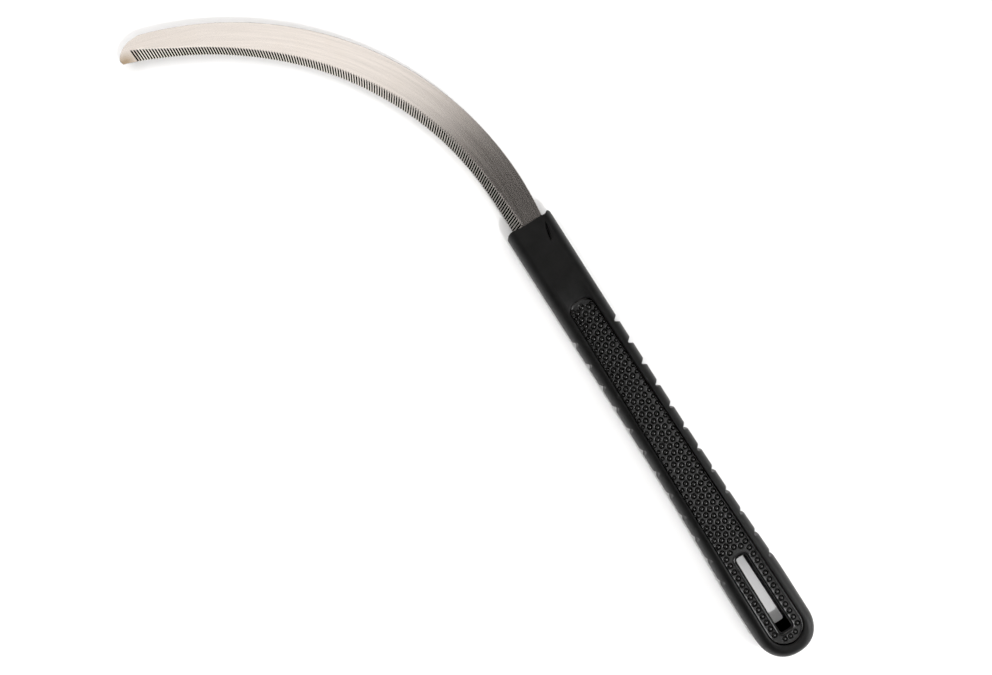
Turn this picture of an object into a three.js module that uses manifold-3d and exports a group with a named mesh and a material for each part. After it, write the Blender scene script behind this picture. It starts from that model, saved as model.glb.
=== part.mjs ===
// Serrated grass sickle with a moulded two-shell handle.
//
// Millimetres. The tool lies on its back with its toothed face up (+Z). +X runs along the handle
// from the butt towards the blade, +Y is the cutting side. The origin is on the flat underside of
// the handle's neck, on the handle's axis. Distances called "back" are measured from the handle's
// mouth, where the blade leaves it, towards the butt.

import * as THREE from 'three';
import { mergeVertices } from 'three/addons/utils/BufferGeometryUtils.js';
import Module from 'manifold-3d';

// ---------------------------------------------------------------- driving dimensions

const MOUTH_X = 20; // mouth of the handle, from the origin
const GAP = 0.3; // clearance between neighbouring pieces

const HANDLE_LENGTH = 234;
const NECK_WIDTH = 23.7;
const BUTT_WIDTH = 28.2;
const HANDLE_THICKNESS = 17;
const FLARE_START = 100; // back from the mouth, where the handle starts to widen
const FLARE_END = 195;
const BUTT_ROUND = 14.5; // length of the rounded butt
const BUTT_EXPONENT = 2.2; // superellipse: 2 would be an ellipse
const EDGE_ROUND = 4.4; // how far the rounded long edges reach across the face
const EDGE_DROP = 7.2; // and how far down the side

const NOTCHES = 12; // on each side
const NOTCH_FIRST = 59; // back from the mouth
const NOTCH_PITCH = 11.73;
const NOTCH_WIDTH = 3.4;
const NOTCH_FLOOR = 0.8;
const NOTCH_DEPTH_CUT = 1.4; // on the cutting side
const NOTCH_DEPTH_SPINE = 2.3;

const INLAY_START = 42.5; // back from the mouth
const INLAY_END = 227;
const INLAY_START_WIDTH = 12;
const INLAY_END_WIDTH = 17.2;
const INLAY_CORNER = 4.4; // corner radius at the neck end
const INLAY_INSET = 0.5; // top of the inlay below the shell's face
const INLAY_THICKNESS = 1.4;

const SLOT_START = 181; // back from the mouth
const SLOT_END = 220.5;
const SLOT_NECK_WIDTH = 5.1;
const SLOT_BUTT_WIDTH = 6.1;
const SLOT_CORNER = 1.2;
const SLOT_BOSS = 0.6; // wall of the raised boss round the slot

const BLADE_THICKNESS = 1;
const SPINE_RADIUS = 155;
const SPINE_CENTRE = new THREE.Vector2(MOUTH_X + 20, 146);
const BLADE_ROOT = -26; // arc lengths along the spine, from the point nearest the handle's line
const SPINE_FLICK_START = 120; // beyond here the spine opens out slightly
const SPINE_FLICK = 1.5;
const SPINE_END = 203; // where the tip's curve starts
const TOOTH_FIRST = -22.47;
const TOOTH_LAST = 207.5;
const TOOTH_PITCH = 1.29; // along the toothed edge
const TOOTH_LEAN = THREE.MathUtils.degToRad(27);
const TOOTH_GROOVE = 4.3; // length of a groove on the face
const TOOTH_GROOVE_WIDTH = 0.9; // at the edge

const TANG_LENGTH = 118; // back from the mouth
const TANG_WIDTH = 14;
const TANG_CORNER = 3;
const RIVETS_BACK = [56, 82, 108];
const RIVET_RADIUS = 2;
const RIVET_HEAD_RADIUS = 3.5;
const RIVET_HEAD = 1;

const CORE_POCKETS_BACK = [[126, 146], [152, 172]]; // cored-out hollows behind the tang
const CORE_POCKET_WIDTH = 14;
const CORE_POCKET_DEPTH = 4;
const PEGS_BACK = [149, 176.2];
const PEG_RADIUS = 1.6;
const PEG_LENGTH = 2.4;

const MID = HANDLE_THICKNESS / 2;
const INLAY_RECESS = INLAY_INSET + INLAY_THICKNESS + GAP;

// ---------------------------------------------------------------- solids

const wasm = await Module();
wasm.setup();

// A closed three.js geometry as a manifold solid.
function solid(geometry) {
  const bare = geometry.clone();
  bare.deleteAttribute('normal');
  bare.deleteAttribute('uv');
  const merged = mergeVertices(bare, 1e-5);
  const vertProperties = new Float32Array(merged.attributes.position.array);
  const triVerts = new Uint32Array(merged.index.array);
  return new wasm.Manifold(new wasm.Mesh({ numProp: 3, vertProperties, triVerts }));
}

// A manifold solid as a named mesh of the scene.
function piece(name, body, material) {
  const mesh = body.getMesh();
  const geometry = new THREE.BufferGeometry();
  geometry.setAttribute('position', new THREE.BufferAttribute(mesh.vertProperties, 3));
  geometry.setIndex(new THREE.BufferAttribute(mesh.triVerts, 1));
  const result = new THREE.Mesh(geometry, material);
  result.name = name;
  return result;
}

// A flat outline raised from z = low to z = high.
function plate(shape, low, high, curveSegments = 6) {
  const depth = high - low;
  const geometry = new THREE.ExtrudeGeometry(shape, { depth, bevelEnabled: false, curveSegments });
  geometry.translate(0, 0, low);
  return solid(geometry);
}

function box(x0, x1, y0, y1, z0, z1) {
  const geometry = new THREE.BoxGeometry(x1 - x0, y1 - y0, z1 - z0);
  geometry.translate((x0 + x1) / 2, (y0 + y1) / 2, (z0 + z1) / 2);
  return solid(geometry);
}

function rod(x, y, radius, low, high) {
  const geometry = new THREE.CylinderGeometry(radius, radius, high - low, 20);
  geometry.rotateX(Math.PI / 2);
  geometry.translate(x, y, (low + high) / 2);
  return solid(geometry);
}

// The same solid mirrored through the handle's middle plane.
function mirroredBelow(body) {
  return body.translate([0, 0, -MID]).mirror([0, 0, 1]).translate([0, 0, MID]);
}

const backToX = (back) => MOUTH_X - back;

// ---------------------------------------------------------------- blade

// A point of the blade from its arc length along the spine's circle and its depth inside it.
function bladePoint(arc, inward) {
  const angle = arc / SPINE_RADIUS;
  const radius = SPINE_RADIUS - inward;
  return new THREE.Vector2(
    SPINE_CENTRE.x + radius * Math.sin(angle),
    SPINE_CENTRE.y - radius * Math.cos(angle),
  );
}

function spineInward(arc) {
  const along = Math.max(0, (arc - SPINE_FLICK_START) / (SPINE_END - SPINE_FLICK_START));
  return -SPINE_FLICK * along * along;
}

// The toothed edge: arc length along the spine, and distance in from the spine's circle.
const toothedEdge = new THREE.SplineCurve([
  new THREE.Vector2(BLADE_ROOT, 15.2),
  new THREE.Vector2(0, 17.0),
  new THREE.Vector2(60, 17.8),
  new THREE.Vector2(110, 17.2),
  new THREE.Vector2(150, 15.7),
  new THREE.Vector2(190, 12.4),
  new THREE.Vector2(214.4, 9),
]);

// The blunt rounded tip, in the same two measures.
const tip = new THREE.SplineCurve([
  new THREE.Vector2(SPINE_END, -SPINE_FLICK),
  new THREE.Vector2(209, 0.3),
  new THREE.Vector2(213.2, 3.4),
  new THREE.Vector2(215.2, 6.8),
  new THREE.Vector2(214.4, 9),
]);

function bladeShape() {
  const outline = [];
  const spineSteps = 30;
  for (let i = 0; i < spineSteps; i += 1) {
    const arc = THREE.MathUtils.lerp(BLADE_ROOT, SPINE_END, i / spineSteps);
    outline.push(bladePoint(arc, spineInward(arc)));
  }
  for (const point of tip.getPoints(10)) {
    outline.push(bladePoint(point.x, point.y));
  }
  for (const point of toothedEdge.getPoints(36).reverse().slice(1)) {
    outline.push(bladePoint(point.x, point.y));
  }
  const tangEnd = backToX(TANG_LENGTH);
  const half = TANG_WIDTH / 2;
  const cornerX = tangEnd + TANG_CORNER;
  const cornerY = half - TANG_CORNER;
  const rootX = backToX(11);
  const shape = new THREE.Shape(outline);
  shape.lineTo(rootX, half);
  shape.absarc(cornerX, cornerY, TANG_CORNER, Math.PI / 2, Math.PI);
  shape.absarc(cornerX, -cornerY, TANG_CORNER, Math.PI, 1.5 * Math.PI);
  shape.lineTo(rootX, -half);
  shape.closePath();
  for (const back of RIVETS_BACK) {
    const hole = new THREE.Path();
    hole.absarc(backToX(back), 0, RIVET_RADIUS + GAP, 0, 2 * Math.PI, true);
    shape.holes.push(hole);
  }
  return shape;
}

// How far the toothed edge lies in from the spine's circle at an arc length.
function edgeInward(arc) {
  let low = 0;
  let high = 1;
  for (let i = 0; i < 30; i += 1) {
    const middle = (low + high) / 2;
    if (toothedEdge.getPoint(middle).x < arc) low = middle;
    else high = middle;
  }
  return toothedEdge.getPoint(low).y;
}

// One milled groove: a V that deepens from nothing on the face to the whole thickness at the edge.
function toothGroove(arc) {
  const past = 1.5;
  const slope = Math.atan2(BLADE_THICKNESS * 1.1, TOOTH_GROOVE);
  const reach = (TOOTH_GROOVE + past) / Math.cos(slope);
  const rise = 3;
  const halfAngle = Math.atan2(TOOTH_GROOVE_WIDTH / 2, BLADE_THICKNESS * 1.1);
  const halfTop = rise * Math.tan(halfAngle);
  const vee = new THREE.Shape([
    new THREE.Vector2(0, 0),
    new THREE.Vector2(halfTop, rise),
    new THREE.Vector2(-halfTop, rise),
  ]);
  const geometry = new THREE.ExtrudeGeometry(vee, { depth: reach, bevelEnabled: false });
  // The V's length runs along +Z: lay it along -Y, falling, with its shallow end at the origin.
  geometry.rotateX(Math.PI / 2);
  geometry.rotateZ(Math.PI);
  geometry.rotateX(-slope);
  geometry.translate(0, -TOOTH_GROOVE, 0);
  geometry.rotateZ(TOOTH_LEAN);
  geometry.rotateZ(arc / SPINE_RADIUS);
  const edge = bladePoint(arc, edgeInward(arc));
  geometry.translate(edge.x, edge.y, MID + BLADE_THICKNESS / 2);
  return solid(geometry);
}

function makeBlade() {
  let blade = plate(bladeShape(), MID - BLADE_THICKNESS / 2, MID + BLADE_THICKNESS / 2, 5);
  let arc = TOOTH_FIRST;
  while (arc < TOOTH_LAST) {
    blade = blade.subtract(toothGroove(arc));
    arc += (TOOTH_PITCH * SPINE_RADIUS) / (SPINE_RADIUS - edgeInward(arc));
  }
  return blade;
}

// ---------------------------------------------------------------- handle shells

function handleHalfWidth(back) {
  const along = (back - FLARE_START) / (FLARE_END - FLARE_START);
  const flare = THREE.MathUtils.clamp(along, 0, 1) ** 2;
  return THREE.MathUtils.lerp(NECK_WIDTH, BUTT_WIDTH, flare) / 2;
}

// The handle seen from above, run on past the mouth so that the mouth can be cut afterwards.
function handleShape() {
  const side = [[-8, handleHalfWidth(0)]];
  for (let back = FLARE_START; back <= FLARE_END; back += (FLARE_END - FLARE_START) / 8) {
    side.push([back, handleHalfWidth(back)]);
  }
  const roundStart = HANDLE_LENGTH - BUTT_ROUND;
  const steps = 10;
  for (let i = 0; i <= steps; i += 1) {
    const angle = (i / steps) * (Math.PI / 2);
    const along = Math.sin(angle) ** (2 / BUTT_EXPONENT);
    const across = Math.max(0, Math.cos(angle)) ** (2 / BUTT_EXPONENT);
    side.push([roundStart + BUTT_ROUND * along, (BUTT_WIDTH / 2) * across]);
  }
  const upper = side.map(([back, y]) => new THREE.Vector2(backToX(back), y));
  const lower = upper.slice(0, -1).reverse().map((point) => new THREE.Vector2(point.x, -point.y));
  return new THREE.Shape([...upper, ...lower]);
}

// The mouth's lip: square to the blade, slightly hollow, with a small ear at each corner.
function mouthShape() {
  const lip = [
    [6, -14], [1.9, -12.6], [0.6, -11.8], [-0.35, -10.9], [-0.35, -10.1], [0.3, -9.3], [0.5, -8.2],
    [0.2, -6.6], [0.2, 0], [0, 5.2], [-0.35, 7.3], [-0.45, 8.9], [-0.1, 10.2], [0.65, 11.3],
    [1.9, 12.3], [6, 14],
  ];
  const points = lip.map(([back, y]) => new THREE.Vector2(backToX(back), y));
  const farX = backToX(HANDLE_LENGTH + 5);
  points.push(new THREE.Vector2(backToX(8), 20));
  points.push(new THREE.Vector2(farX, 20));
  points.push(new THREE.Vector2(farX, -20));
  points.push(new THREE.Vector2(backToX(8), -20));
  return new THREE.Shape(points);
}

// A V notch with a narrow floor, cut straight down one side of the handle.
function sideNotch(back, side) {
  const half = handleHalfWidth(back);
  const depth = side > 0 ? NOTCH_DEPTH_CUT : NOTCH_DEPTH_SPINE;
  const flank = (NOTCH_WIDTH - NOTCH_FLOOR) / 2 / depth;
  const above = 2;
  const halfOpen = NOTCH_FLOOR / 2 + flank * (depth + above);
  const floorY = half - depth;
  const shape = new THREE.Shape([
    new THREE.Vector2(-NOTCH_FLOOR / 2, floorY),
    new THREE.Vector2(NOTCH_FLOOR / 2, floorY),
    new THREE.Vector2(halfOpen, half + above),
    new THREE.Vector2(-halfOpen, half + above),
  ]);
  const notch = plate(shape, -1, HANDLE_THICKNESS + 1).translate([backToX(back), 0, 0]);
  return side > 0 ? notch : notch.mirror([0, 1, 0]);
}

// The hanging slot's outline: rounded corners, slightly wider towards the butt.
function slotShape(margin) {
  const corner = SLOT_CORNER + margin;
  const neckX = backToX(SLOT_START - margin) - corner;
  const buttX = backToX(SLOT_END + margin) + corner;
  const neckY = SLOT_NECK_WIDTH / 2 + margin - corner;
  const buttY = SLOT_BUTT_WIDTH / 2 + margin - corner;
  const shape = new THREE.Shape();
  shape.absarc(neckX, neckY, corner, 0, Math.PI / 2);
  shape.absarc(buttX, buttY, corner, Math.PI / 2, Math.PI);
  shape.absarc(buttX, -buttY, corner, Math.PI, 1.5 * Math.PI);
  shape.absarc(neckX, -neckY, corner, 1.5 * Math.PI, 2 * Math.PI);
  shape.closePath();
  return shape;
}

// The inlay's outline: tapered sides, rounded corners at the neck end, a round butt end.
function inlayShape(margin) {
  const neckHalf = INLAY_START_WIDTH / 2 + margin;
  const buttRadius = INLAY_END_WIDTH / 2 + margin;
  const corner = INLAY_CORNER + margin;
  const neckX = backToX(INLAY_START - margin);
  const buttX = backToX(INLAY_END) + INLAY_END_WIDTH / 2;
  const shape = new THREE.Shape();
  shape.absarc(neckX - corner, neckHalf - corner, corner, 0, Math.PI / 2);
  shape.absarc(buttX, 0, buttRadius, Math.PI / 2, 1.5 * Math.PI);
  shape.absarc(neckX - corner, corner - neckHalf, corner, 1.5 * Math.PI, 2 * Math.PI);
  shape.closePath();
  return shape;
}

function inlayShapeWithSlot(margin, slotMargin) {
  const shape = inlayShape(margin);
  shape.holes.push(new THREE.Path(slotShape(slotMargin).getPoints(4)));
  return shape;
}

// The whole handle as one rounded body with its notches and its hanging slot.
function handleBody() {
  const geometry = new THREE.ExtrudeGeometry(handleShape(), {
    depth: HANDLE_THICKNESS - 2 * EDGE_DROP,
    bevelEnabled: true,
    bevelThickness: EDGE_DROP,
    bevelSize: EDGE_ROUND,
    bevelOffset: -EDGE_ROUND,
    bevelSegments: 4,
  });
  geometry.translate(0, 0, EDGE_DROP);
  let body = solid(geometry);
  body = body.intersect(plate(mouthShape(), -1, HANDLE_THICKNESS + 1));
  for (let i = 0; i < NOTCHES; i += 1) {
    const back = NOTCH_FIRST + i * NOTCH_PITCH;
    body = body.subtract(sideNotch(back, 1));
    body = body.subtract(sideNotch(back, -1));
  }
  return body.subtract(plate(slotShape(0), -1, HANDLE_THICKNESS + 1, 4));
}

// The room that the blade's root and the tang take inside the handle, with clearance all round.
function tangRoom() {
  const low = MID - BLADE_THICKNESS / 2 - GAP;
  const high = MID + BLADE_THICKNESS / 2 + GAP;
  const half = TANG_WIDTH / 2 + GAP;
  const tang = box(backToX(TANG_LENGTH + GAP), backToX(0), -half, half, low, high);
  const root = box(backToX(12), backToX(-2), -8.9, 8.7, low, high);
  return tang.add(root);
}

// The front half of the handle, before its pegs. The back half is its mirror image.
function shellHalf(body) {
  const far = 400;
  let half = body.intersect(box(-far, far, -far, far, MID + GAP / 2, HANDLE_THICKNESS + 1));
  const recessFloor = HANDLE_THICKNESS - INLAY_RECESS;
  const recess = plate(inlayShapeWithSlot(GAP, SLOT_BOSS), recessFloor, HANDLE_THICKNESS + 1, 8);
  half = half.subtract(recess);
  const bossTop = HANDLE_THICKNESS - INLAY_INSET;
  half = half.subtract(plate(slotShape(SLOT_BOSS + 0.01), bossTop, HANDLE_THICKNESS + 1, 4));
  half = half.subtract(tangRoom());
  for (const back of RIVETS_BACK) {
    const x = backToX(back);
    const seat = recessFloor - RIVET_HEAD - GAP;
    half = half.subtract(rod(x, 0, RIVET_RADIUS + GAP, 0, HANDLE_THICKNESS));
    half = half.subtract(rod(x, 0, RIVET_HEAD_RADIUS + GAP, seat, HANDLE_THICKNESS));
  }
  for (const [near, end] of CORE_POCKETS_BACK) {
    const wide = CORE_POCKET_WIDTH / 2;
    const pocket = box(backToX(end), backToX(near), -wide, wide, MID - 1, MID + CORE_POCKET_DEPTH);
    half = half.subtract(pocket);
  }
  return half;
}

function makeFrontShell(body) {
  let shell = shellHalf(body);
  for (const back of PEGS_BACK) {
    shell = shell.add(rod(backToX(back), 0, PEG_RADIUS, MID - PEG_LENGTH, MID + 1));
  }
  return shell;
}

function makeBackShell(body) {
  let shell = mirroredBelow(shellHalf(body));
  for (const back of PEGS_BACK) {
    shell = shell.subtract(rod(backToX(back), 0, PEG_RADIUS + GAP, MID - PEG_LENGTH - 0.6, MID));
  }
  return shell;
}

// ---------------------------------------------------------------- inlays and rivets

function makeInlay() {
  const top = HANDLE_THICKNESS - INLAY_INSET;
  return plate(inlayShapeWithSlot(0, SLOT_BOSS + GAP), top - INLAY_THICKNESS, top, 8);
}

// A solid steel rivet with a low chamfered head at each end, standing on Z.
function makeRivet(back) {
  const headTop = HANDLE_THICKNESS - INLAY_RECESS - GAP / 3;
  const headFoot = headTop - RIVET_HEAD;
  const chamfer = 0.4;
  const half = [
    [RIVET_RADIUS, headFoot - MID],
    [RIVET_HEAD_RADIUS, headFoot - MID],
    [RIVET_HEAD_RADIUS, headTop - MID - chamfer],
    [RIVET_HEAD_RADIUS - 2 * chamfer, headTop - MID],
    [0, headTop - MID],
  ];
  const lower = half.map(([radius, z]) => [radius, -z]).reverse();
  const profile = [...lower, ...half].map(([radius, z]) => new THREE.Vector2(radius, z));
  const geometry = new THREE.LatheGeometry(profile, 20);
  geometry.rotateX(Math.PI / 2);
  geometry.translate(backToX(back), 0, MID);
  return solid(geometry);
}

// ---------------------------------------------------------------- materials and assembly

const bladeSteel = new THREE.MeshStandardMaterial({
  color: 0xc9c1b8, roughness: 0.34, metalness: 1,
});
const handlePlastic = new THREE.MeshStandardMaterial({
  color: 0x1f1f20, roughness: 0.72, metalness: 0,
});
const inlayRubber = new THREE.MeshStandardMaterial({
  color: 0x151516, roughness: 0.42, metalness: 0,
});
const rivetSteel = new THREE.MeshStandardMaterial({
  color: 0xa8a8aa, roughness: 0.45, metalness: 1,
});

const sickle = new THREE.Group();
const body = handleBody();
const inlay = makeInlay();

sickle.add(piece('blade', makeBlade(), bladeSteel));
sickle.add(piece('handle_front_shell', makeFrontShell(body), handlePlastic));
sickle.add(piece('handle_back_shell', makeBackShell(body), handlePlastic));
sickle.add(piece('front_grip_inlay', inlay, inlayRubber));
sickle.add(piece('back_grip_inlay', mirroredBelow(inlay), inlayRubber));
RIVETS_BACK.forEach((back, index) => {
  sickle.add(piece(`tang_rivet_${index + 1}`, makeRivet(back), rivetSteel));
});

export default sickle;
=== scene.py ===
"""Hand sickle: fine meshes, materials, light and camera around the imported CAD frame.

Shapes are worked out in millimetres in the row frame (+X from the butt towards the blade, +Y the
cutting side, +Z up) and turned into metres when a mesh is made. "back" is a distance from the
handle's mouth towards the butt, and "arc" a length along the circle of the blade's spine.
"""

import math

import bmesh
import bpy
import numpy as np
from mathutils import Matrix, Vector


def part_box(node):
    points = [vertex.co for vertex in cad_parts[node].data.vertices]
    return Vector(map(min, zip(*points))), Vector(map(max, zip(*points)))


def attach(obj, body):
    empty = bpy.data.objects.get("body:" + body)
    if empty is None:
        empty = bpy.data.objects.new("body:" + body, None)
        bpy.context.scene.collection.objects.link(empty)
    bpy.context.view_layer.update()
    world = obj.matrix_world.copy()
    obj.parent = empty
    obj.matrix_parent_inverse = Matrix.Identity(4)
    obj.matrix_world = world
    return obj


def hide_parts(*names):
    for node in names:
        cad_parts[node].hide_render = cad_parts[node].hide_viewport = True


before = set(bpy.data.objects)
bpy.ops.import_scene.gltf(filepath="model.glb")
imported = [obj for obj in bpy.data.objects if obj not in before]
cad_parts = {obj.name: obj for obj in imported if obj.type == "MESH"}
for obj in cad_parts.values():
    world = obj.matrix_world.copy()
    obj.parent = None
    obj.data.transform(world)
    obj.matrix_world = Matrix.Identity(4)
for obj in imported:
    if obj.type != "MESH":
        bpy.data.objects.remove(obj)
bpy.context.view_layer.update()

MM = 0.001

# ---------------- sizes read from the frame


def box_in_mm(node):
    return [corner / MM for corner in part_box(node)]


front_low, front_high = box_in_mm("handle_front_shell")
back_low, back_high = box_in_mm("handle_back_shell")
blade_low, blade_high = box_in_mm("blade")
inlay_low, inlay_high = box_in_mm("front_grip_inlay")

TOP = front_high.z
MID = (back_low.z + TOP) / 2
PARTING = MID - back_high.z  # half the gap between the shells
MOUTH_X = 20.0
HANDLE_LENGTH = MOUTH_X - front_low.x
BUTT_WIDTH = front_high.y - front_low.y
BLADE_TOP, BLADE_BOTTOM = blade_high.z, blade_low.z
INLAY_TOP, INLAY_BOTTOM = inlay_high.z, inlay_low.z
INLAY_START = MOUTH_X - inlay_high.x
INLAY_END = MOUTH_X - inlay_low.x
INLAY_BUTT_HALF = (inlay_high.y - inlay_low.y) / 2
INLAY_BUTT_START = INLAY_END - INLAY_BUTT_HALF  # where the inlay's sides turn into its round end

# ---------------- sizes shared with the CAD part

GAP = 0.3
NECK_WIDTH = 23.7
FLARE_START, FLARE_END = 100.0, 195.0
BUTT_ROUND = 14.5
BUTT_EXPONENT = 2.2
EDGE_ROUND = 4.4
EDGE_DROP = 7.2

NOTCHES = 12
NOTCH_FIRST = 59.0
NOTCH_PITCH = 11.73
NOTCH_HALF_OPEN = 1.7
NOTCH_HALF_FLOOR = 0.4
NOTCH_DEPTH_CUT = 1.4
NOTCH_DEPTH_SPINE = 2.3

INLAY_NECK_HALF = 6.0
INLAY_CORNER = 4.4

SLOT_START, SLOT_END = 181.0, 220.5
SLOT_NECK_HALF = 2.55
SLOT_BUTT_HALF = 3.05
SLOT_CORNER = 1.2
SLOT_BOSS = 0.6
# the inlay's opening round the slot's boss
HOLE_MARGIN = SLOT_BOSS + GAP
HOLE_CORNER = SLOT_CORNER + HOLE_MARGIN
HOLE_START = SLOT_START - HOLE_MARGIN
HOLE_END = SLOT_END + HOLE_MARGIN

SPINE_RADIUS = 155.0
SPINE_CENTRE = (MOUTH_X + 20.0, 146.0)
BLADE_ROOT = -26.0
SPINE_FLICK_START = 120.0
SPINE_FLICK = 1.5
SPINE_END = 203.0
TOOTH_FIRST = -22.47
TOOTH_LAST = 207.5
TOOTH_PITCH = 1.29
TOOTH_LEAN = math.radians(27)

TANG_LENGTH = 118.0
TANG_ROOT = 11.0  # how far back from the mouth the tang begins
TANG_HALF = 7.0
TANG_CORNER = 3.0
RIVETS_BACK = (56.0, 82.0, 108.0)
RIVET_RADIUS = 2.0
RIVET_HEAD_RADIUS = 3.5
RIVET_HEAD = 1.0
CORE_POCKETS_BACK = ((146.0, 126.0), (172.0, 152.0))
CORE_POCKET_HALF = 7.0
CORE_POCKET_DEPTH = 4.0
PEGS_BACK = (149.0, 176.2)
PEG_RADIUS = 1.6
PEG_LENGTH = 2.4
PEG_ROOT = 1.0
SOCKET_SPARE = 0.6
BLADE_ROOM_BACK = (12.0, -2.0)
BLADE_ROOM_Y = (-8.9, 8.7)


# ---------------- small helpers

TOOL_PAST = 2.0  # how far a cutting tool reaches past what it cuts
ROD_SIDES = 48
TINY = 1e-6


def smoothstep(value, low, high):
    """0 up to low, 1 from high on, and an even change between."""
    t = np.clip((np.asarray(value, float) - low) / (high - low), 0, 1)
    return t * t * (3 - 2 * t)


def spline(points, t):
    """A uniform Catmull-Rom curve through the points, at t from 0 to 1."""
    points = np.asarray(points, float)
    last = len(points) - 1
    place = np.clip(np.asarray(t, float), 0, 1) * last
    i = np.minimum(place.astype(int), last - 1)
    w = (place - i)[..., None]
    p0, p1, p2, p3 = (points[np.clip(i + step, 0, last)] for step in (-1, 0, 1, 2))
    v0, v1 = (p2 - p0) / 2, (p3 - p1) / 2
    cubic = (2 * p1 - 2 * p2 + v0 + v1) * w ** 3
    square = (-3 * p1 + 3 * p2 - 2 * v0 - v1) * w ** 2
    return cubic + square + v0 * w + p1


def soft_min(a, b, radius):
    """The smaller of two numbers, with a rounded change from one to the other."""
    blend = np.clip(0.5 + 0.5 * (b - a) / radius, 0, 1)
    return b * (1 - blend) + a * blend - radius * blend * (1 - blend)


def add_object(name, data):
    piece = bpy.data.objects.new(name, data)
    bpy.context.scene.collection.objects.link(piece)
    return piece


def new_object(name, points, faces, origin=(0.0, 0.0, 0.0)):
    """A closed mesh object from points in millimetres, with its faces turned outwards."""
    mesh = bpy.data.meshes.new(name)
    points = (np.asarray(points, float) - np.asarray(origin)) * MM
    mesh.from_pydata(points.tolist(), [], faces)
    work = bmesh.new()
    work.from_mesh(mesh)
    bmesh.ops.remove_doubles(work, verts=work.verts, dist=1e-7)
    bmesh.ops.dissolve_degenerate(work, edges=work.edges, dist=1e-8)
    unused = [vertex for vertex in work.verts if not vertex.link_faces]
    bmesh.ops.delete(work, geom=unused, context="VERTS")
    bmesh.ops.recalc_face_normals(work, faces=work.faces)
    work.to_mesh(mesh)
    work.free()
    piece = add_object(name, mesh)
    piece.location = Vector(origin) * MM
    return piece


def smooth(piece, angle):
    """Smooth shading, kept sharp where faces meet at more than angle degrees."""
    piece.data.shade_smooth()
    piece.data.set_sharp_from_angle(angle=math.radians(angle))


def points_of(piece):
    """The piece's own points, in millimetres."""
    co = np.zeros(len(piece.data.vertices) * 3, np.float32)
    piece.data.vertices.foreach_get("co", co)
    return co.reshape(-1, 3) / MM


def store_on_points(piece, name, values):
    """Keeps one number on each point for a material to read."""
    attribute = piece.data.attributes.new(name, "FLOAT", "POINT")
    attribute.data.foreach_set("value", np.asarray(values, np.float32))


def prism(outline, z0, z1):
    """An upright tool with the given plan."""
    sides = len(outline)
    low = np.column_stack([outline, np.full(sides, z0)])
    high = np.column_stack([outline, np.full(sides, z1)])
    faces = [tuple(range(sides)), tuple(range(sides, 2 * sides))]
    for i in range(sides):
        j = (i + 1) % sides
        faces.append((i, j, sides + j, sides + i))
    return new_object("cutter", np.vstack([low, high]), faces)


def box_cutter(x0, x1, y0, y1, z0, z1):
    return prism([(x0, y0), (x1, y0), (x1, y1), (x0, y1)], z0, z1)


def rod_cutter(x, radius, z0, z1):
    """A round tool on the handle's axis."""
    angles = np.arange(ROD_SIDES) * 2 * math.pi / ROD_SIDES
    return prism(np.stack([x + radius * np.cos(angles), radius * np.sin(angles)], 1), z0, z1)


def cut(piece, tool, operation="DIFFERENCE"):
    """Cuts the tool out of the piece, or joins it on, and removes the tool."""
    modifier = piece.modifiers.new("cut", "BOOLEAN")
    modifier.object = tool
    modifier.operation = operation
    modifier.solver = "MANIFOLD"
    bpy.context.view_layer.update()
    shape = piece.evaluated_get(bpy.context.evaluated_depsgraph_get())
    result = bpy.data.meshes.new_from_object(shape)
    old = piece.data
    piece.modifiers.clear()
    piece.data = result
    bpy.data.meshes.remove(old)
    bpy.data.objects.remove(tool)


def back_to_x(back):
    """x of places given by how far back from the mouth they lie."""
    return MOUTH_X - np.asarray(back, float)


# ---------------- blade

TOOTH_EDGE = ((BLADE_ROOT, 15.2), (0, 17.0), (60, 17.8), (110, 17.2), (150, 15.7), (190, 12.4),
              (214.4, 9))
TIP = ((SPINE_END, -SPINE_FLICK), (209, 0.3), (213.2, 3.4), (215.2, 6.8), (214.4, 9))
BLADE_END = TOOTH_EDGE[-1][0]
TANG_STEP = 4.0
PLAIN_STEP = 1.3  # between mesh columns before the first tooth
TIP_COLUMNS = 12
TIP_COLUMN_GAP = 0.7
TIP_TURN = 196.0  # from here on the toothed edge faces the tip's curve
TIP_CLOSING = 6.0  # length over which the grooves' band narrows to nothing
TIP_UPRIGHT = math.radians(11)  # the last teeth lean this much less
UPRIGHT_ARC = (140, 200)  # and come to it over this stretch
# how far the grooves reach in from the toothed edge, by arc length
GROOVE_BAND = ((BLADE_ROOT, 5.6), (0, 4.6), (40, 4.1), (90, 3.8), (160, 3.7), (185, 4.1),
               (195, 5.0), (203, 6.0), (209, 6.2))
GROOVE_ROWS = (0, 0.03, 0.09, 0.18, 0.31, 0.47, 0.62, 0.75, 0.86, 0.94, 1)  # shares of the band
FACE_ROWS = (0.06, 0.18, 0.36, 0.55, 0.74, 0.9, 1)  # shares of the plain face
# across a groove: place as a share of its width, and share of its depth there
GROOVE_PROFILE = ((-0.36, 0.0), (-0.28, 0.85), (-0.1, 1.0), (0.1, 1.0), (0.28, 0.85), (0.36, 0.0))
GROOVE_DEEPEST = 0.72
GROOVE_EDGE_SHALLOWER = 0.18
GROOVE_WIDTH = ((90, 150, 180, 200), (0.8, 0.97, 0.97, 0.88))  # shares of the pitch, by arc
SERRATION = 0.3
SERRATION_REACH = 0.5
EDGE_BEVEL = 0.34  # bevel on the back of the toothed edge, as a share of the grooves' band
EDGE_BEVEL_RISE = 0.5
SPINE_CHAMFER = 0.22
CHAMFER_MOST = 0.3  # of the plain face's width, where the blade is narrow
THINNEST = 0.03
GROOVE_SHADE_FROM = 0.12  # painted shade: the steel in a groove is darkened from this depth down
BAND_BLUR = 0.3
TIP_BROWN_ARC = (205.0, 212.0)  # the tip's toothed corner is tinted brown from here to here
TIP_BROWN_INWARD = (3.5, 8.0)


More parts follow.
